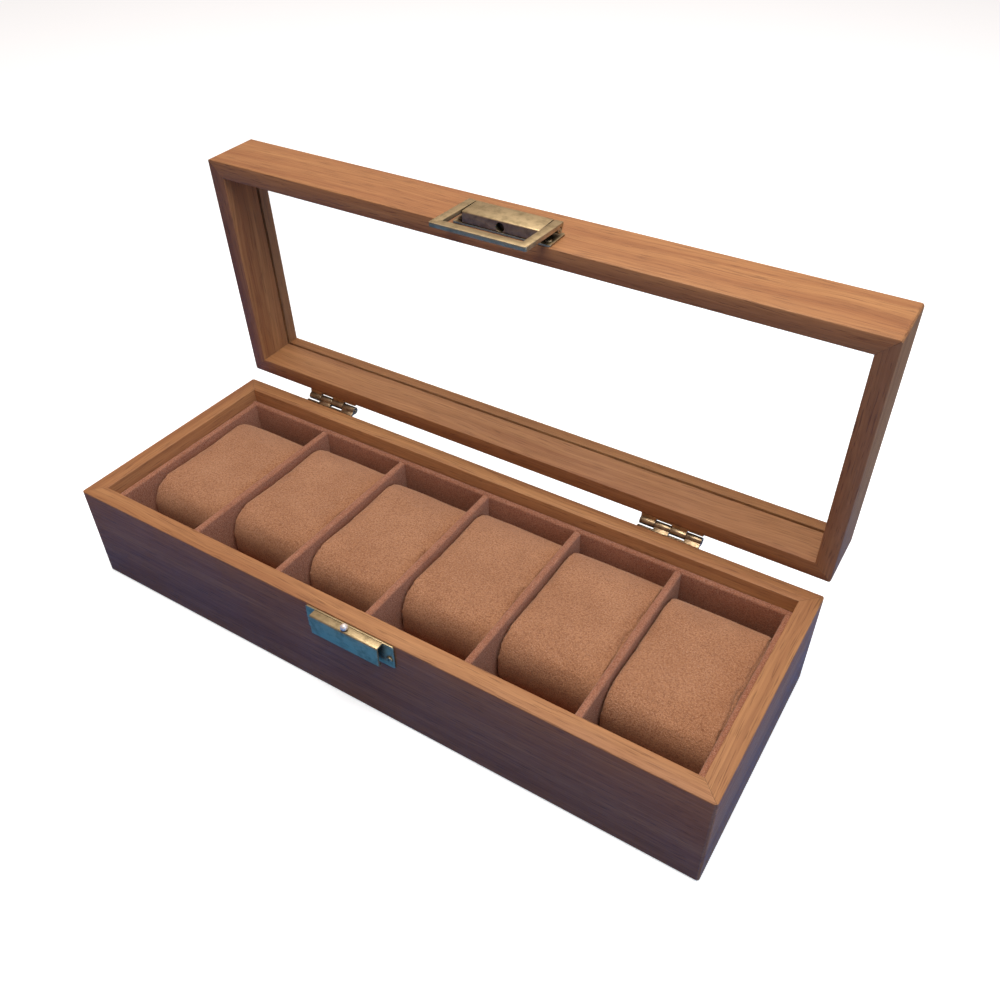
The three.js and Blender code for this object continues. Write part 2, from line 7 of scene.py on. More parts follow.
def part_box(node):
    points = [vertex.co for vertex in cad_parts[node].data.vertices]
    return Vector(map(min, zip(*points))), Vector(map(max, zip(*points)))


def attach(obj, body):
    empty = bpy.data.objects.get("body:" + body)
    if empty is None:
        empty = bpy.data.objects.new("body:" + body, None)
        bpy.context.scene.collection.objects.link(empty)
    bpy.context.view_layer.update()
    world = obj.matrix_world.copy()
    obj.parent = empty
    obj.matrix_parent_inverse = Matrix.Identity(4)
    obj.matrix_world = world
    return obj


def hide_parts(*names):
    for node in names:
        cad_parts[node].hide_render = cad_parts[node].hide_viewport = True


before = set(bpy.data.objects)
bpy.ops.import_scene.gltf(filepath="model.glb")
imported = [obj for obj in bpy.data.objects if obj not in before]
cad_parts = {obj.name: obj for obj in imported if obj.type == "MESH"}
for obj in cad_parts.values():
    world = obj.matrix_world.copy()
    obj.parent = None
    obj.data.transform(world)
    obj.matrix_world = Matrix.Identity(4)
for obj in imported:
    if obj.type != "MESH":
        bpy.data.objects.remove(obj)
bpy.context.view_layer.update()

MM = 0.001
TINY = 1e-6
FACING = 0.9  # a face counts as facing a way when its normal has at least this much of it
QUARTER_TURN = math.radians(90)

# Studio
CAMERA_PLACE = (0.1935, -0.2451, 0.3308)
CAMERA_AZIMUTH = 32.08
CAMERA_ELEVATION = 40.74
CAMERA_ROLL = -0.26
CAMERA_LENS = 33.9
CAMERA_SHIFT = (-0.00515, 0.01878)
CAMERA_SENSOR = 36
CAMERA_NEAREST = 0.01
LAMP_TARGET = Vector((0, 0, 0.05))
FLOOR_SIZE = 30
WARM_FLOOR = (0.1, 0.2)

# Wood: each board's grain starts this much further into the veneer
VENEER_STEP = Vector((0.31, 0.17, 0.23))
FLOOR_VENEER = Vector((0.7, 0.4, 0.9))

# Cloth and suede
DIVIDERS = 5
PILLOWS = 6
SUEDE_ROUND = 1.25 * MM
SUEDE_ROUND_STEPS = 5
TRAY_FLOOR_ROUND = 0.6 * MM
FELT_ROUND = 0.5 * MM
WALL_CUTS = 48
WALL_SIDE_CUTS = 6
SUEDE_SWELL = 0.12 * MM
SUEDE_SWELL_SIZE = 9 * MM
SWELL_LEVEL = 0.6
PILLOW_INSET = 0.4 * MM
PILLOW_ROUND = 14.6 * MM
PILLOW_ROUND_STEPS = 10
PILLOW_VOXEL = 1.25 * MM
PILLOW_PRESSURE = 4
PILLOW_CAP = 0.9 * MM
PILLOW_FRAMES = 20
PILLOW_DENT = 0.4 * MM
PILLOW_DENT_SIZE = 22 * MM
SEAM_FACING = 0.6
SEAM_INSIDE = 1.7 * MM
SEAM_WIDTH = 0.45 * MM
SEAM_DEPTH = 0.45 * MM
CLOSING_SEAM_Y = 14 * MM

# Metal
EDGE_BREAK = 0.14 * MM
HINGE_EDGE_BREAK = 0.1 * MM
CLASP_EDGE_BREAK = 0.2 * MM
FLAT_ANGLE = math.radians(0.5)
ROUND_SIDES = 32
PIN_END_ROUND = 0.4
SCREW_RADIUS = 1.5 * MM
SCREW_HEAD = 0.7 * MM
SCREW_HEAD_ROUND = 0.6
SCREW_SHANK = 0.7 * MM
SCREW_LENGTH = 5 * MM
SCREW_FIRST_TWIST = 10
SCREW_NEXT_TWIST = 35
CROSS_LONG = 1.7 * MM
CROSS_WIDE = 0.34 * MM
CROSS_DEEP = 0.22 * MM
TURNED_BACK = 180

# Patterns: how often they repeat in a metre, along a board or fitting and across it
SWAY_SCALE = (9, 20, 20)
SWAY_REACH = 12 * MM
BAND_SCALE = (5, 150, 150)
FIBRE_SCALE = (22, 1100, 1100)
PORE_SCALE = (90, 2300, 2300)
BRUSH_SCALE = (120, 7000, 7000)
FLECK_FINENESS = 2.6

# Fine relief
GRAIN_DEPTH = 0.05 * MM
FIBRE_RELIEF = 0.4
NAP_DEPTH = 0.3 * MM
BRUSH_DEPTH = 0.012 * MM

# How strongly each pattern shows
FIBRE_SHARE = 0.4
PORE_SHARE = 0.45
RUBBED_SHARE = 0.35
TUFT_CONTRAST = 1.6
TUFT_SHARE = 0.74
# how strongly the painted glints of sheen on the nap show
GLINT_SHARE = 0.6
LINE_SHARE = 0.2
# how strongly the painted shade in corners and under overhangs shows
PAINTED_SHADE_SHARE = 0.85


# ---------------------------------------------------------------- modelling by hand

def work_on(piece=None):
    """Leaves edit mode and makes this piece, or nothing, the only one selected."""
    if bpy.context.object and bpy.context.object.mode != "OBJECT":
        bpy.ops.object.mode_set(mode="OBJECT")
    bpy.ops.object.select_all(action="DESELECT")
    if piece:
        piece.select_set(True)
        bpy.context.view_layer.objects.active = piece


def choose(piece, kind, test):
    """Opens a piece for editing, with only the items that pass the test selected."""
    work_on(piece)
    mesh = piece.data
    kinds = {"VERT": mesh.vertices, "EDGE": mesh.edges, "FACE": mesh.polygons}
    places = {
        "VERT": lambda point: (point.co,),
        "EDGE": lambda edge: [mesh.vertices[end].co for end in edge.vertices],
        "FACE": lambda face: (face.center, face.normal),
    }
    bpy.context.tool_settings.mesh_select_mode = [each == kind for each in kinds]
    for items in kinds.values():
        items.foreach_set("select", [False] * len(items))
    for item in kinds[kind]:
        item.select = bool(test(*places[kind](item)))
    bpy.ops.object.mode_set(mode="EDIT")


def named(name):
    """Names the shape just added, and puts its place, turn and size into its mesh."""
    piece = bpy.context.object
    piece.name = name
    piece.data.name = name
    bpy.ops.object.transform_apply(location=True, rotation=True, scale=True)
    return piece


def turned(angle, axis):
    """A turn by an angle in degrees."""
    return Matrix.Rotation(math.radians(angle), 4, axis)


def block(name, low, high):
    """A block between two corners."""
    work_on()
    low, high = Vector(low), Vector(high)
    bpy.ops.mesh.primitive_cube_add(size=1, location=(low + high) / 2, scale=high - low)
    return named(name)


def apply_modifier(piece, kind, **settings):
    """Adds one modifier to the piece and applies it."""
    modifier = piece.modifiers.new(kind.lower(), kind)
    for setting, value in settings.items():
        setattr(modifier, setting, value)
    work_on(piece)
    bpy.ops.object.modifier_apply(modifier=modifier.name)


def smooth(piece, angle=35):
    """Shades the piece smooth except over edges sharper than the angle."""
    work_on(piece)
    bpy.ops.object.shade_smooth_by_angle(angle=math.radians(angle))


def swell(piece, depth, size):
    """Gives a covered piece the slight unevenness of stretched cloth."""
    clouds = bpy.data.textures.new(piece.name + "_swell", "CLOUDS")
    clouds.noise_scale = size
    apply_modifier(
        piece,
        "DISPLACE",
        texture=clouds,
        strength=depth,
        mid_level=SWELL_LEVEL,
        texture_coords="LOCAL",
    )


def finish_piece(piece, body, slot, material, *nodes):
    """Gives a piece its look, the body it moves with, and the fixed parts it stands for."""
    piece.data.materials.clear()
    piece.data.materials.append(material)
    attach(piece, body)
    if nodes:
        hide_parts(*nodes)
    return piece


def finer_copy(node, edge_break=EDGE_BREAK, sharp=40):
    """A merged copy of a fixed part, with its sharp edges broken and its curves shaded smooth."""
    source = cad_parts[node]
    piece = bpy.data.objects.new(node + "_finished", source.data.copy())
    bpy.context.scene.collection.objects.link(piece)
    work_on(piece)
    bpy.ops.mesh.customdata_custom_splitnormals_clear()
    bpy.ops.object.mode_set(mode="EDIT")
    bpy.ops.mesh.select_all(action="SELECT")
    bpy.ops.mesh.remove_doubles(threshold=TINY)
    bpy.ops.mesh.dissolve_limited(angle_limit=FLAT_ANGLE)
    bpy.ops.object.mode_set(mode="OBJECT")
    if edge_break:
        apply_modifier(
            piece,
            "BEVEL",
            width=edge_break,
            segments=2,
            limit_method="ANGLE",
            angle_limit=math.radians(sharp),
            use_clamp_overlap=False,
        )
    smooth(piece)
    return piece


# ---------------------------------------------------------------- nodes

def put(tree, kind, inputs=None, **settings):
    """Adds a node to a tree, with its settings and with a value or a link for each named input."""
    node = tree.nodes.new("ShaderNode" + kind)
    for setting, value in settings.items():
        setattr(node, setting, value)
    for name, value in (inputs or {}).items():
        if isinstance(value, bpy.types.NodeSocket):
            tree.links.new(value, node.inputs[name])
        else:
            node.inputs[name].default_value = value
    return node


def maths(tree, operation, first, second=0.0):
    """The result of one sum on two values."""
    return put(tree, "Math", {0: first, 1: second}, operation=operation).outputs[0]


def stretch(tree, value, low=0.0, high=1.0, to_low=0.0, to_high=1.0):
    """Spreads a value between low and high over a new range."""
    inputs = {0: value, 1: low, 2: high, 3: to_low, 4: to_high}
    return put(tree, "MapRange", inputs).outputs[0]


def tint(tree, share, first, second):
    """Mixes two colours by a share that changes over the surface."""
    inputs = {0: share, 6: first, 7: second}
    return put(tree, "Mix", inputs, data_type="RGBA").outputs[2]


def shade(red, green, blue):
    """An opaque colour."""
    return (red, green, blue, 1)


def spread(tree, noise):
    """Noise seldom leaves its middle, so its middle is spread from 0 to 1."""
    return stretch(tree, noise, 0.3, 0.7)


def scaled(tree, vector, scale):
    """Coordinates stretched by a different amount along each axis."""
    return put(tree, "Mapping", {"Vector": vector, "Scale": scale}).outputs[0]


def fractal(tree, vector, scale, detail=3, roughness=0.5):
    """Cloudy noise, finer with more detail and harsher with more roughness."""
    inputs = {"Vector": vector, "Scale": scale, "Detail": detail, "Roughness": roughness}
    return put(tree, "TexNoise", inputs).outputs["Fac"]


def new_group(name, inputs, outputs):
    """A node group with these inputs, each a name, kind and value, and these outputs."""
    tree = bpy.data.node_groups.new(name, "ShaderNodeTree")
    for socket, kind, value in inputs:
        made = tree.interface.new_socket(socket, in_out="INPUT", socket_type="NodeSocket" + kind)
        made.default_value = value
    for socket, kind in outputs:
        tree.interface.new_socket(socket, in_out="OUTPUT", socket_type="NodeSocket" + kind)
    given = tree.nodes.new("NodeGroupInput").outputs
    result = tree.nodes.new("NodeGroupOutput").inputs
    return tree, given, result


def grain_group():
    """Wood grain along X: broad bands, fine fibres and short dark pores."""
    tree, given, result = new_group(
        "grain",
        [("Vector", "Vector", (0, 0, 0)), ("Fineness", "Float", 1.0)],
        [("Bands", "Float"), ("Fibres", "Float"), ("Pores", "Float")],
    )
    vector = put(
        tree, "VectorMath", {0: given["Vector"], "Scale": given["Fineness"]}, operation="SCALE"
    ).outputs[0]
    sway = fractal(tree, scaled(tree, vector, SWAY_SCALE), 1.0, detail=2)
    sideways = put(tree, "CombineXYZ", {1: maths(tree, "MULTIPLY", sway, SWAY_REACH)}).outputs[0]
    bent = put(tree, "VectorMath", {0: vector, 1: sideways}, operation="ADD").outputs[0]
    bands = fractal(tree, scaled(tree, bent, BAND_SCALE), 1.0, detail=3, roughness=0.55)
    fibres = fractal(tree, scaled(tree, bent, FIBRE_SCALE), 1.0, detail=3, roughness=0.6)
    pores = fractal(tree, scaled(tree, bent, PORE_SCALE), 1.0, detail=1, roughness=0.4)
    tree.links.new(spread(tree, bands), result["Bands"])
    tree.links.new(spread(tree, fibres), result["Fibres"])
    tree.links.new(stretch(tree, pores, low=0.6, high=0.7), result["Pores"])
    return tree


def edge_wear_group():
    """Where edges have been rubbed: near a sharp edge, broken up by a coarse pattern."""
    tree, given, result = new_group(
        "edge_wear",
        [("Vector", "Vector", (0, 0, 0)), ("Reach", "Float", 0.0005), ("Break Up", "Float", 200.0)],
        [("Mask", "Float")],
    )
    rounded = put(tree, "Bevel", {"Radius": given["Reach"]}, samples=4).outputs[0]
    flat = put(tree, "NewGeometry").outputs["Normal"]
    facing = put(tree, "VectorMath", {0: rounded, 1: flat}, operation="DOT_PRODUCT").outputs
    turn = maths(tree, "SUBTRACT", 1.0, facing["Value"])
    near = stretch(tree, turn, low=0.02, high=0.22)
    worn = stretch(tree, fractal(tree, given["Vector"], given["Break Up"]), low=0.35, high=0.65)
    tree.links.new(maths(tree, "MULTIPLY", near, worn), result["Mask"])
    return tree


def nap_group():
    """Napped cloth: fine speckle, pale flecks for painted glints of sheen, brushed clouds, and a
    height for the tufts.
    """
    tree, given, result = new_group(
        "nap",
        [("Vector", "Vector", (0, 0, 0)), ("Speckle", "Float", 1300.0), ("Cloud", "Float", 60.0)],
        [("Speckle", "Float"), ("Glints", "Float"), ("Clouds", "Float"), ("Height", "Float")],
    )
    finer = maths(tree, "MULTIPLY", given["Speckle"], FLECK_FINENESS)
    coarse = fractal(tree, given["Vector"], given["Speckle"], detail=2, roughness=0.6)
    fine = fractal(tree, given["Vector"], finer, detail=2, roughness=0.6)
    clouds = fractal(tree, given["Vector"], given["Cloud"], detail=4, roughness=0.6)
    tree.links.new(spread(tree, coarse), result["Speckle"])
    tree.links.new(stretch(tree, fine, low=0.54, high=0.7), result["Glints"])
    tree.links.new(spread(tree, clouds), result["Clouds"])
    tree.links.new(maths(tree, "ADD", coarse, fine), result["Height"])
    return tree


def brushed_group():
    """Satin metal: fine lines along X and patches of old patina."""
    tree, given, result = new_group(
        "brushed",
        [("Vector", "Vector", (0, 0, 0)), ("Patch", "Float", 260.0)],
        [("Lines", "Float"), ("Patina", "Float")],
    )
    along = scaled(tree, given["Vector"], BRUSH_SCALE)
    lines = fractal(tree, along, 1.0, detail=2, roughness=0.6)
    patina = fractal(tree, given["Vector"], given["Patch"], detail=4, roughness=0.65)
    tree.links.new(spread(tree, lines), result["Lines"])
    tree.links.new(stretch(tree, patina, low=0.45, high=0.75), result["Patina"])
    return tree


def handling_group():
    """Faint uneven gloss left by hands and cloths."""
    tree, given, result = new_group(
        "handling",
        [("Vector", "Vector", (0, 0, 0)), ("Size", "Float", 30.0)],
        [("Smear", "Float")],
    )
    smear = fractal(tree, given["Vector"], given["Size"], roughness=0.6)
    tree.links.new(stretch(tree, smear, low=0.35, high=0.65), result["Smear"])
    return tree


def recess_shade_group():
    """Painted shade: darkening in corners and under overhangs, where shade falls."""
    tree, given, result = new_group(
        "recess",
        [("Reach", "Float", 0.004), ("Share", "Float", 1.0)],
        [("Mask", "Float")],
    )
    open_sky = put(tree, "AmbientOcclusion", {"Distance": given["Reach"]}, samples=4).outputs["AO"]
    closed = stretch(tree, open_sky, low=0.25, high=0.8, to_low=1.0, to_high=0.0)
    tree.links.new(maths(tree, "MULTIPLY", closed, given["Share"]), result["Mask"])
    return tree


GRAIN = grain_group()
EDGE_WEAR = edge_wear_group()
NAP = nap_group()
BRUSHED = brushed_group()
HANDLING = handling_group()
RECESS_SHADE = recess_shade_group()

WALNUT_DARK = shade(0.36, 0.146, 0.056)
WALNUT_LIGHT = shade(0.53, 0.256, 0.100)
WALNUT_FIBRE = shade(0.17, 0.060, 0.026)
WALNUT_PORE = shade(0.10, 0.035, 0.016)
WALNUT_RUBBED = shade(0.56, 0.33, 0.18)
NAP_SHEEN = shade(1.0, 0.78, 0.62)
# colour of the painted shade in corners and under overhangs
PAINTED_SHADE = shade(0.030, 0.024, 0.014)
FELT_LIGHT = shade(0.030, 0.020, 0.016)
FELT_DARK = shade(0.017, 0.011, 0.009)
FELT_SPECKLE = shade(0.06, 0.042, 0.034)
CLEAR_GLASS = shade(0.97, 0.99, 0.98)
FLOOR_SEEN = shade(0.93, 0.93, 0.94)
FLOOR_GLOW = shade(0.58, 0.60, 0.60)
FLOOR_THROWN = shade(0.02, 0.08, 0.36)
FLOOR_MIRRORED_IN_FRONT = shade(0.05, 0.31, 0.92)
FLOOR_MIRRORED_BEHIND = shade(0.55, 0.47, 0.40)
WALLS_THROWN = shade(0.25, 0.190, 0.175)
WHITE = shade(1.0, 1.0, 1.0)
BLACK = shade(0.0, 0.0, 0.0)


def new_material(name):
    """An empty material: its tree, its surface shader and the piece's own coordinates."""
    material = bpy.data.materials.new(name)
    material.use_nodes = True
    tree = material.node_tree
    surface = tree.nodes["Principled BSDF"]
    own = put(tree, "TexCoord").outputs["Object"]
    return material, tree, surface, own


def wire(tree, surface, **links):
    """Links outputs to the surface shader's sockets; Base_Color stands for Base Color."""
    for name, output in links.items():
        tree.links.new(output, surface.inputs[name.replace("_", " ")])


def bump(tree, height, distance):
    """Fine relief, as deep as the distance where the height is 1."""
    return put(tree, "Bump", {"Height": height, "Distance": distance}).outputs[0]


def wood(name, turn, shift):
    """Satin walnut veneer with the grain turned to lie along its board."""
    material, tree, surface, own = new_material(name)
    lengthwise = put(tree, "Mapping", {"Vector": own, "Location": shift, "Rotation": turn}).outputs[0]
    grain = put(tree, "Group", {"Vector": lengthwise}, node_tree=GRAIN).outputs
    wear = put(tree, "Group", {"Vector": own, "Reach": 0.6 * MM}, node_tree=EDGE_WEAR).outputs[0]
    smear = put(tree, "Group", {"Vector": own}, node_tree=HANDLING).outputs[0]
    colour = tint(tree, grain["Bands"], WALNUT_DARK, WALNUT_LIGHT)
    streak = maths(tree, "MULTIPLY", grain["Fibres"], FIBRE_SHARE)
    colour = tint(tree, streak, colour, WALNUT_FIBRE)
    pore = maths(tree, "MULTIPLY", grain["Pores"], PORE_SHARE)
    colour = tint(tree, pore, colour, WALNUT_PORE)
    rubbed = maths(tree, "MULTIPLY", wear, RUBBED_SHARE)
    colour = tint(tree, rubbed, colour, WALNUT_RUBBED)
    uneven = maths(tree, "ADD", grain["Fibres"], smear)
    gloss = stretch(tree, uneven, high=2.0, to_low=0.48, to_high=0.64)
    raised = maths(tree, "MULTIPLY", grain["Fibres"], FIBRE_RELIEF)
    relief = bump(tree, maths(tree, "SUBTRACT", raised, grain["Pores"]), GRAIN_DEPTH)
    wire(tree, surface, Base_Color=colour, Roughness=gloss, Normal=relief)
    surface.inputs["IOR"].default_value = 1.42
    return material


def suede(name, light, dark, deep, pale, speckle, sheen):
    """Napped microfibre: mottled, brushed in clouds, with a soft sheen at grazing angles and pale
    flecks painted in as glints of sheen.
    """
    material, tree, surface, own = new_material(name)
    nap = put(tree, "Group", {"Vector": own, "Speckle": speckle}, node_tree=NAP).outputs
    colour = tint(tree, nap["Clouds"], light, dark)
    tuft = maths(tree, "POWER", nap["Speckle"], TUFT_CONTRAST)
    colour = tint(tree, maths(tree, "MULTIPLY", tuft, TUFT_SHARE), colour, deep)
    # painted highlight: pale flecks on the nap stand for glints of sheen
    painted_glint = stretch(tree, nap["Glints"], to_high=GLINT_SHARE)
    colour = tint(tree, painted_glint, colour, pale)
    gloss = stretch(tree, nap["Speckle"], to_low=0.86, to_high=0.98)
    tufts = bump(tree, nap["Height"], NAP_DEPTH)
    wire(tree, surface, Base_Color=colour, Roughness=gloss, Normal=tufts)
    surface.inputs["Sheen Weight"].default_value = sheen
    surface.inputs["Sheen Roughness"].default_value = 0.45
    surface.inputs["Sheen Tint"].default_value = NAP_SHEEN
    surface.inputs["Specular IOR Level"].default_value = 0.15
    return material


def metal(name, bright, dull, worn, gloss, patina_share, metallic=1.0):
    """Brushed metal with darker patina, brighter rubbed edges and painted shade in corners and under
    overhangs.
    """
    material, tree, surface, own = new_material(name)
    brushed = put(tree, "Group", {"Vector": own}, node_tree=BRUSHED).outputs
    reach = {"Vector": own, "Reach": 0.35 * MM, "Break Up": 900.0}
    wear = put(tree, "Group", reach, node_tree=EDGE_WEAR).outputs[0]
    smear = put(tree, "Group", {"Vector": own, "Size": 120.0}, node_tree=HANDLING).outputs[0]
    colour = tint(tree, maths(tree, "MULTIPLY", brushed["Patina"], patina_share), bright, dull)
    colour = tint(tree, maths(tree, "MULTIPLY", brushed["Lines"], LINE_SHARE), colour, dull)
    colour = tint(tree, wear, colour, worn)
    # painted shade: corners and overhangs are darkened towards near-black
    corners = {"Reach": 5 * MM, "Share": PAINTED_SHADE_SHARE}
    recess_shade = put(tree, "Group", corners, node_tree=RECESS_SHADE).outputs[0]
    colour = tint(tree, recess_shade, colour, PAINTED_SHADE)
    mixed = maths(tree, "ADD", maths(tree, "ADD", brushed["Lines"], brushed["Patina"]), smear)
    smoothest, roughest = gloss
    roughness = stretch(tree, mixed, high=3.0, to_low=smoothest, to_high=roughest)
    lines = bump(tree, brushed["Lines"], BRUSH_DEPTH)
    wire(tree, surface, Base_Color=colour, Roughness=roughness, Normal=lines)
    surface.inputs["Metallic"].default_value = metallic
    return material


def felt():
    """Dense dark felt under the base."""
    material, tree, surface, own = new_material("felt")
    coarse = {"Vector": own, "Speckle": 900.0, "Cloud": 90.0}
    nap = put(tree, "Group", coarse, node_tree=NAP).outputs
    colour = tint(tree, nap["Clouds"], FELT_LIGHT, FELT_DARK)
    colour = tint(tree, nap["Speckle"], colour, FELT_SPECKLE)
    gloss = stretch(tree, nap["Speckle"], to_low=0.9)
    tufts = bump(tree, nap["Height"], NAP_DEPTH)
    wire(tree, surface, Base_Color=colour, Roughness=gloss, Normal=tufts)
    surface.inputs["Sheen Weight"].default_value = 0.3
    return material


def glass():
    """Clear float glass with the faintest smears; lamps shine through it."""
    material, tree, surface, own = new_material("glass")
    smear = put(tree, "Group", {"Vector": own, "Size": 14.0}, node_tree=HANDLING).outputs[0]
    wire(tree, surface, Roughness=stretch(tree, smear, to_high=0.012))
    surface.inputs["Base Color"].default_value = CLEAR_GLASS
    surface.inputs["Transmission Weight"].default_value = 1.0
    surface.inputs["IOR"].default_value = 1.5
    clear = put(tree, "BsdfTransparent").outputs[0]
    lamp_ray = put(tree, "LightPath").outputs["Is Shadow Ray"]
    mixed = put(tree, "MixShader", {0: lamp_ray, 1: surface.outputs[0], 2: clear}).outputs[0]
    tree.links.new(mixed, tree.nodes["Material Output"].inputs["Surface"])
    return material


# ---------------------------------------------------------------- studio

def stand_camera():
    """The camera, looking down on the box from its front right."""
    azimuth, elevation = math.radians(CAMERA_AZIMUTH), math.radians(CAMERA_ELEVATION)
    level = math.cos(elevation)
    back = Vector((math.sin(azimuth) * level, -math.cos(azimuth) * level, math.sin(elevation)))
    camera = bpy.data.objects.new("camera", bpy.data.cameras.new("camera"))
    bpy.context.scene.collection.objects.link(camera)
    roll = turned(CAMERA_ROLL, "Z")
    facing = (-back).to_track_quat("-Z", "Y").to_matrix().to_4x4()
    camera.matrix_world = Matrix.Translation(CAMERA_PLACE) @ facing @ roll
    camera.data.sensor_width = CAMERA_SENSOR
    camera.data.lens = CAMERA_LENS
    camera.data.shift_x, camera.data.shift_y = CAMERA_SHIFT
    camera.data.clip_start = CAMERA_NEAREST
    bpy.context.scene.camera = camera


def lamp(name, place, size, power, colour):
    """A soft square lamp aimed at the middle of the box."""
    data = bpy.data.lights.new(name, "AREA")
    data.shape = "SQUARE"
    data.size = size
    data.energy = power
    data.color = colour
    light = bpy.data.objects.new(name, data)
    bpy.context.scene.collection.objects.link(light)
    light.location = place
    light.rotation_euler = (Vector(place) - LAMP_TARGET).to_track_quat("Z", "Y").to_euler()


def seen_directly(tree):
    """1 for what the camera sees itself or through glass, and 0 for light bouncing off things."""
    path = put(tree, "LightPath").outputs
    straight = maths(tree, "MAXIMUM", path["Is Camera Ray"], path["Is Transmission Ray"])
    bounces = maths(tree, "ADD", path["Diffuse Depth"], path["Glossy Depth"])
    return maths(tree, "MULTIPLY", straight, maths(tree, "LESS_THAN", bounces, 0.5))


def lay_floor():
    """A plain pale floor; fittings mirror it as cool in front of the box and warm behind it."""
    work_on()
    bpy.ops.mesh.primitive_plane_add(size=FLOOR_SIZE, location=(0, 0, 0))
    floor = named("floor")
    material = bpy.data.materials.new("pale_floor")
    material.use_nodes = True
    tree = material.node_tree
    surface = tree.nodes["Principled BSDF"]
    shine = put(tree, "LightPath").outputs["Is Glossy Ray"]
    own = put(tree, "TexCoord").outputs["Object"]
    depth = put(tree, "SeparateXYZ", {0: own}).outputs["Y"]
    behind = stretch(tree, depth, *WARM_FLOOR)
    mirrored = tint(tree, behind, FLOOR_MIRRORED_IN_FRONT, FLOOR_MIRRORED_BEHIND)
    thrown = tint(tree, shine, FLOOR_THROWN, mirrored)
    straight = seen_directly(tree)
    colour = tint(tree, straight, thrown, FLOOR_SEEN)
    glow = tint(tree, straight, BLACK, FLOOR_GLOW)
    wire(tree, surface, Base_Color=colour, Emission_Color=glow)
    surface.inputs["Emission Strength"].default_value = 1.0
    surface.inputs["Roughness"].default_value = 0.9
    surface.inputs["Specular IOR Level"].default_value = 0.0
    floor.data.materials.append(material)


def light_room():
    """Pale walls all round, and soft lamps overhead, behind and, a cool one, at the side."""
    world = bpy.data.worlds.new("studio")
    world.use_nodes = True
    bpy.context.scene.world = world
    tree = world.node_tree
    colour = tint(tree, seen_directly(tree), WALLS_THROWN, WHITE)
    tree.links.new(colour, tree.nodes["Background"].inputs["Color"])
    lamp("key", place=(0.1, -0.05, 0.85), size=0.45, power=5.3, colour=(1.0, 0.97, 0.93))
    lamp("back", place=(-0.35, 0.6, 1.3), size=0.8, power=4.5, colour=(1.0, 0.97, 0.94))
    lamp("side", place=(1.1, -0.1, 0.4), size=0.6, power=4.2, colour=(0.42, 0.68, 1.0))
    bpy.context.scene.view_settings.view_transform = "Standard"


stand_camera()
lay_floor()
light_room()

# ---------------------------------------------------------------- looks

ALONG_X = (0, 0, 0)
ALONG_Y = (0, 0, -QUARTER_TURN)
ALONG_Z = (0, QUARTER_TURN, 0)
OPENED = -88

BRASS = metal(
    "antique_brass",
    bright=shade(0.60, 0.46, 0.26),
    dull=shade(0.24, 0.18, 0.095),
    worn=shade(0.95, 0.83, 0.60),
    gloss=(0.46, 0.62),
    patina_share=0.75,
)
# painted shade: a darker, less metallic copy of the brass for the clasp tab's front-facing wall
SHADED_FRONT_BRASS = metal(
    "shaded_front_brass",
    bright=shade(0.34, 0.22, 0.125),
    dull=shade(0.12, 0.075, 0.04),
    worn=shade(0.60, 0.45, 0.26),
    gloss=(0.45, 0.65),
    patina_share=0.9,
    metallic=0.3,
)
HINGE_BRASS = metal(
    "dark_brass",
    bright=shade(0.56, 0.40, 0.24),
    dull=shade(0.07, 0.05, 0.03),
    worn=shade(0.95, 0.82, 0.62),
    gloss=(0.30, 0.5),
    patina_share=0.9,
)
# partly the steel's own pale tone and partly a painted highlight: pinkish cream and only half
# metallic, so the ball shows cream all over
STEEL_WITH_PAINTED_HIGHLIGHT = metal(
    "bright_steel",
    bright=shade(0.95, 0.84, 0.76),
    dull=shade(0.75, 0.66, 0.60),
    worn=shade(0.98, 0.95, 0.92),
    gloss=(0.3, 0.45),
    patina_share=0.2,
    metallic=0.45,
)
PILLOW_SUEDE = suede(
    "pillow_suede",
    light=shade(0.525, 0.258, 0.132),
    dark=shade(0.43, 0.198, 0.096),
    deep=shade(0.20, 0.070, 0.036),
    pale=shade(0.74, 0.46, 0.30),
    speckle=1250.0,
    sheen=0.3,
)
TRAY_SUEDE = suede(
    "tray_suede",
    light=shade(0.455, 0.198, 0.116),
    dark=shade(0.38, 0.153, 0.084),
    deep=shade(0.18, 0.058, 0.030),
    pale=shade(0.66, 0.42, 0.31),
    speckle=1300.0,
    sheen=0.28,
)
FELT = felt()
GLASS = glass()


# ---------------------------------------------------------------- case

def panel(name, node, body, slot, material):
    """A finished copy of a board, whose eased edges are already in its shape."""
    piece = finer_copy(node, edge_break=0)
    piece.name = name
    return finish_piece(piece, body, slot, material, node)


def boards():
    """The eight mitred boards, each cut from its own stretch of veneer."""
    for index, side in enumerate(("front", "right", "back", "left")):
        along_x = side in ("front", "back")
        shift = VENEER_STEP * (index + 1)
        base_look = wood(f"walnut_base_{side}", ALONG_X if along_x else ALONG_Y, shift)
        panel(f"base_{side}_wood", f"base_{side}_board", "base", "wood", base_look)
        lid_look = wood(f"walnut_lid_{side}", ALONG_X if along_x else ALONG_Z, -shift)
        panel(f"lid_{side}_wood", f"lid_{side}_board", "lid", "wood", lid_look)


boards()


# ---------------------------------------------------------------- suede tray

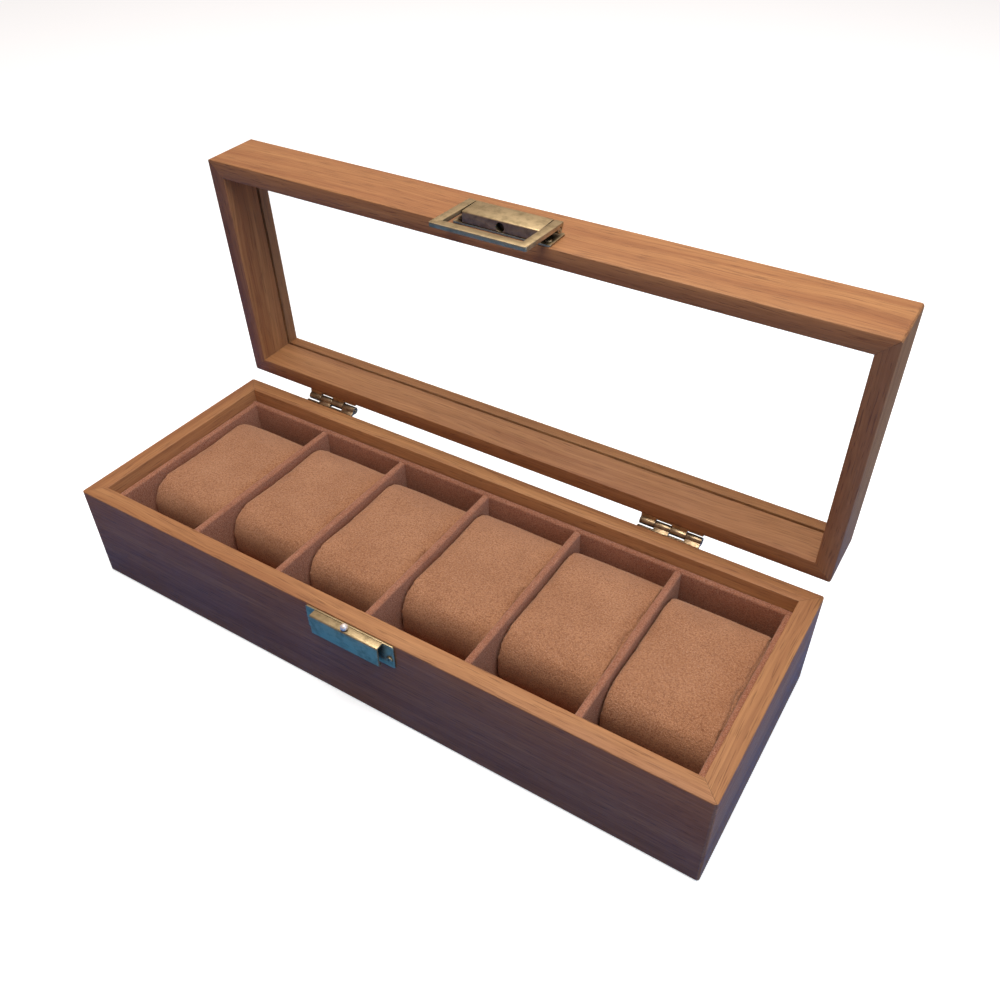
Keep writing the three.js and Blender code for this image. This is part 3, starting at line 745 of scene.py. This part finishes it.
def suede_wall(name, node, run):
    """A board wrapped in suede: its top edges rolled over, its faces a little uneven."""
    low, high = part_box(node)
    wall = block(name, low, high)

    def top_edge(one, other):
        return min(one.z, other.z) > high.z - TINY and abs(one[run] - other[run]) > TINY

    choose(wall, "EDGE", top_edge)
    bpy.ops.mesh.bevel(offset=SUEDE_ROUND, segments=SUEDE_ROUND_STEPS, affect="EDGES")
    choose(wall, "EDGE", lambda one, other: abs(one[run] - other[run]) > TINY)
    bpy.ops.mesh.subdivide(number_cuts=WALL_CUTS)
    choose(wall, "EDGE", lambda one, other: abs(one.z - other.z) > SUEDE_ROUND)
    bpy.ops.mesh.subdivide(number_cuts=WALL_SIDE_CUTS)
    swell(wall, SUEDE_SWELL, SUEDE_SWELL_SIZE)
    smooth(wall, angle=50)
    return finish_piece(wall, "base", "tray_suede", TRAY_SUEDE, node)


def suede_tray():
    """Four walls, five dividers and a floor."""
    for side, run in (("front", 0), ("back", 0), ("left", 1), ("right", 1)):
        suede_wall(f"tray_{side}_suede", f"tray_{side}_wall", run)
    for index in range(1, DIVIDERS + 1):
        suede_wall(f"divider_{index}_suede", f"divider_{index}", 1)
    low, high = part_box("tray_floor")
    floor = block("tray_floor_suede", low, high)
    choose(floor, "EDGE", lambda one, other: min(one.z, other.z) > high.z - TINY)
    bpy.ops.mesh.bevel(offset=TRAY_FLOOR_ROUND, segments=3, affect="EDGES")
    smooth(floor)
    finish_piece(floor, "base", "tray_suede", TRAY_SUEDE, "tray_floor")


suede_tray()


# ---------------------------------------------------------------- pillows

def outline_depth(point, middle, half):
    """How far inside the pillow's rolled outline a point lies, seen from the side."""
    radius = PILLOW_ROUND + PILLOW_INSET
    across = abs(point.y - middle.y) - (half.y - radius)
    up = abs(point.z - middle.z) - (half.z - radius)
    outside = math.hypot(max(across, 0), max(up, 0)) + min(max(across, up), 0)
    return radius - outside


def groove(distance):
    """How deep a seam is at some distance from its middle."""
    return SEAM_DEPTH * math.exp(-((distance / SEAM_WIDTH) ** 2))


def sew_seams(pillow, low, high):
    """Draws the cloth in along the two side panels' seams and along the closing seam below."""
    middle, half = (low + high) / 2, (high - low) / 2
    normals = [vertex.normal.copy() for vertex in pillow.data.vertices]
    for vertex, normal in zip(pillow.data.vertices, normals):
        if abs(normal.x) > SEAM_FACING:
            depth = groove(outline_depth(vertex.co, middle, half) - SEAM_INSIDE)
        elif normal.z < -SEAM_FACING:
            depth = groove(vertex.co.y - middle.y - CLOSING_SEAM_Y)
        else:
            continue
        vertex.co -= normal * depth


def swell_with_cloth(pillow):
    """Fills the pillow by cloth pressure, and stops any point that moves further than the cap."""
    start = [vertex.co.copy() for vertex in pillow.data.vertices]
    cloth = pillow.modifiers.new("cloth", "CLOTH")
    cloth.settings.use_pressure = True
    cloth.settings.uniform_pressure_force = PILLOW_PRESSURE
    cloth.settings.effector_weights.gravity = 0
    scene = bpy.context.scene
    for step in range(1, PILLOW_FRAMES + 1):
        scene.frame_set(step)
    work_on(pillow)
    bpy.ops.object.modifier_apply(modifier=cloth.name)
    scene.frame_set(1)
    for vertex, before in zip(pillow.data.vertices, start):
        move = vertex.co - before
        if move.length > PILLOW_CAP:
            vertex.co = before + move.normalized() * PILLOW_CAP


def fit_between(piece, low, high):
    """Stretches a piece to fill the room between two corners."""
    count = len(piece.data.vertices)
    flat = [0.0] * (3 * count)
    piece.data.vertices.foreach_get("co", flat)
    for axis in range(3):
        least, most = min(flat[axis::3]), max(flat[axis::3])
        share = (high[axis] - low[axis]) / (most - least)
        flat[axis::3] = [low[axis] + (value - least) * share for value in flat[axis::3]]
    piece.data.vertices.foreach_set("co", flat)
    piece.data.update()


def first_pillow():
    """One pillow at the first slot: a rolled block, swelled out and kept within its room."""
    low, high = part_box("pillow_1")
    inset = Vector((1, 1, 1)) * PILLOW_INSET
    pillow = block("pillow_form", low + inset, high - inset)
    choose(pillow, "EDGE", lambda one, other: abs(one.x - other.x) > TINY)
    bpy.ops.mesh.bevel(offset=PILLOW_ROUND, segments=PILLOW_ROUND_STEPS, affect="EDGES")
    apply_modifier(pillow, "REMESH", mode="VOXEL", voxel_size=PILLOW_VOXEL)
    swell_with_cloth(pillow)
    for vertex in pillow.data.vertices:
        vertex.co.x = min(max(vertex.co.x, low.x), high.x)
        vertex.co.z = max(vertex.co.z, low.z)
    fit_between(pillow, low, high)
    apply_modifier(pillow, "SUBSURF", levels=1, render_levels=1)
    sew_seams(pillow, low, high)
    return pillow


def pillows():
    """Six pillows, one in each slot, each with its own slight dents."""
    form = first_pillow()
    first_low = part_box("pillow_1")[0]
    for index in range(1, PILLOWS + 1):
        node = f"pillow_{index}"
        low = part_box(node)[0]
        pillow = bpy.data.objects.new(f"{node}_suede", form.data.copy())
        bpy.context.scene.collection.objects.link(pillow)
        pillow.data.transform(Matrix.Translation(low - first_low))
        swell(pillow, PILLOW_DENT, PILLOW_DENT_SIZE)
        smooth(pillow, angle=180)
        finish_piece(pillow, f"{node}_body", "pillow_suede", PILLOW_SUEDE, node)
    bpy.data.objects.remove(form)


pillows()


# ---------------------------------------------------------------- underside and glass

def underside():
    """The felt pad below, and the floor board above it."""
    low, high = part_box("underside_felt")
    pad = block("underside_felt_pad", low, high)
    choose(pad, "EDGE", lambda one, other: max(one.z, other.z) < low.z + TINY)
    bpy.ops.mesh.bevel(offset=FELT_ROUND, segments=3, affect="EDGES")
    smooth(pad)
    finish_piece(pad, "base", "felt", FELT, "underside_felt")
    floor_look = wood("walnut_floor", ALONG_X, FLOOR_VENEER)
    panel("base_floor_board", "base_floor", "base", "floor_board", floor_look)


underside()
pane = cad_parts["lid_glass"]
pane.data.materials.clear()
pane.data.materials.append(GLASS)


# ---------------------------------------------------------------- metal fittings

def metal_copy(node, body, edge_break=EDGE_BREAK, material=BRASS):
    """A fitting made from its fixed part, with its edges broken."""
    return finish_piece(finer_copy(node, edge_break), body, "antique_brass", material, node)


def fittings():
    """The hinge leaves, the catch and the clasp; the clasp tab's front-facing wall gets a darker,
    less metallic brass as painted shade.
    """
    for side in ("left", "right"):
        metal_copy(f"hinge_{side}_base_leaf", "base", HINGE_EDGE_BREAK, HINGE_BRASS)
        metal_copy(f"hinge_{side}_lid_leaf", "lid", HINGE_EDGE_BREAK, HINGE_BRASS)
    metal_copy("catch_plate", "base")
    metal_copy("catch_hook", "base")
    metal_copy("clasp_plate", "lid")
    tab = metal_copy("clasp_tab", "lid", CLASP_EDGE_BREAK)
    tab.data.materials.append(SHADED_FRONT_BRASS)
    # painted shade: faces turned towards the front take the darker brass
    for face in tab.data.polygons:
        face.material_index = int(face.normal.y < -FACING)
    metal_copy("clasp_frame", "clasp_frame", CLASP_EDGE_BREAK)


def pin(name, node, body):
    """A turned pin with rounded ends, along X."""
    low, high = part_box(node)
    radius = (high.z - low.z) / 2
    work_on()
    bpy.ops.mesh.primitive_cylinder_add(
        vertices=ROUND_SIDES,
        radius=radius,
        depth=high.x - low.x,
        location=(low + high) / 2,
        rotation=(0, QUARTER_TURN, 0),
    )
    rod = named(name)
    choose(rod, "EDGE", lambda one, other: abs(one.x - other.x) < TINY)
    bpy.ops.mesh.bevel(offset=radius * PIN_END_ROUND, segments=3, affect="EDGES")
    smooth(rod)
    finish_piece(rod, body, "antique_brass", BRASS, node)


def ball():
    """The polished ball on the catch, cut flat where it is set into the metal; its pinkish-cream
    colour is partly a painted highlight.
    """
    low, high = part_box("catch_ball")
    radius = (high.x - low.x) / 2
    centre = Vector(((low.x + high.x) / 2, (low.y + high.y) / 2, high.z - radius))
    work_on()
    bpy.ops.mesh.primitive_uv_sphere_add(segments=40, ring_count=24, radius=radius, location=centre)
    bead = named("catch_ball_bead")
    choose(bead, "FACE", lambda place, normal: True)
    bpy.ops.mesh.bisect(plane_co=(0, 0, low.z), plane_no=(0, 0, 1), use_fill=True, clear_inner=True)
    smooth(bead)
    finish_piece(bead, "base", "bright_steel", STEEL_WITH_PAINTED_HIGHLIGHT, "catch_ball")


def screw_form():
    """A cross-head screw at the origin, its head towards -Y and its shank into the wood."""
    work_on()
    bpy.ops.mesh.primitive_cylinder_add(
        vertices=ROUND_SIDES,
        radius=SCREW_RADIUS,
        depth=SCREW_HEAD,
        location=(0, -SCREW_HEAD / 2, 0),
        rotation=(QUARTER_TURN, 0, 0),
    )
    form = named("screw_form")
    choose(form, "EDGE", lambda one, other: max(one.y, other.y) < -SCREW_HEAD + TINY)
    bpy.ops.mesh.bevel(offset=SCREW_HEAD * SCREW_HEAD_ROUND, segments=4, affect="EDGES")
    choose(form, "FACE", lambda place, normal: normal.y > FACING)
    bpy.ops.mesh.inset(thickness=SCREW_RADIUS - SCREW_SHANK)
    bpy.ops.mesh.extrude_region_move(TRANSFORM_OT_translate={"value": (0, SCREW_LENGTH, 0)})
    work_on()
    for wide, tall in ((CROSS_LONG, CROSS_WIDE), (CROSS_WIDE, CROSS_LONG)):
        low = (-wide / 2, -2 * SCREW_HEAD, -tall / 2)
        cutter = block("cross_cutter", low, (wide / 2, CROSS_DEEP - SCREW_HEAD, tall / 2))
        apply_modifier(form, "BOOLEAN", object=cutter, operation="DIFFERENCE", solver="EXACT")
        bpy.data.objects.remove(cutter)
    smooth(form)
    return form


def screws():
    """Copies of one screw, each where its fixed part is; the lid's are swung up with it."""
    form = screw_form()
    to_middle = Matrix.Translation((0, (SCREW_HEAD - SCREW_LENGTH) / 2, 0))
    groups = [("hinge_base", 4, "base", TURNED_BACK), ("catch", 2, "base", 0)]
    groups += [("hinge_lid", 4, "lid", TURNED_BACK), ("clasp", 2, "lid", 0)]
    for group, count, body, turn in groups:
        for index in range(1, count + 1):
            node = f"{group}_screw_{index}"
            low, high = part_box(node)
            screw = bpy.data.objects.new(f"{node}_head", form.data.copy())
            bpy.context.scene.collection.objects.link(screw)
            swing = turned(OPENED if body == "lid" else 0, "X")
            facing = swing @ turned(turn, "Z")
            twist = turned(SCREW_FIRST_TWIST + SCREW_NEXT_TWIST * index, "Y")
            place = Matrix.Translation((low + high) / 2) @ facing
            screw.data.transform(place @ to_middle @ twist)
            finish_piece(screw, body, "antique_brass", BRASS, node)
    bpy.data.objects.remove(form)


fittings()
pin("hinge_left_pin_turned", "hinge_left_pin", "base")
pin("hinge_right_pin_turned", "hinge_right_pin", "base")
pin("clasp_pivot_rod_turned", "clasp_pivot_rod", "lid")
ball()
screws()

bpy.context.view_layer.update()
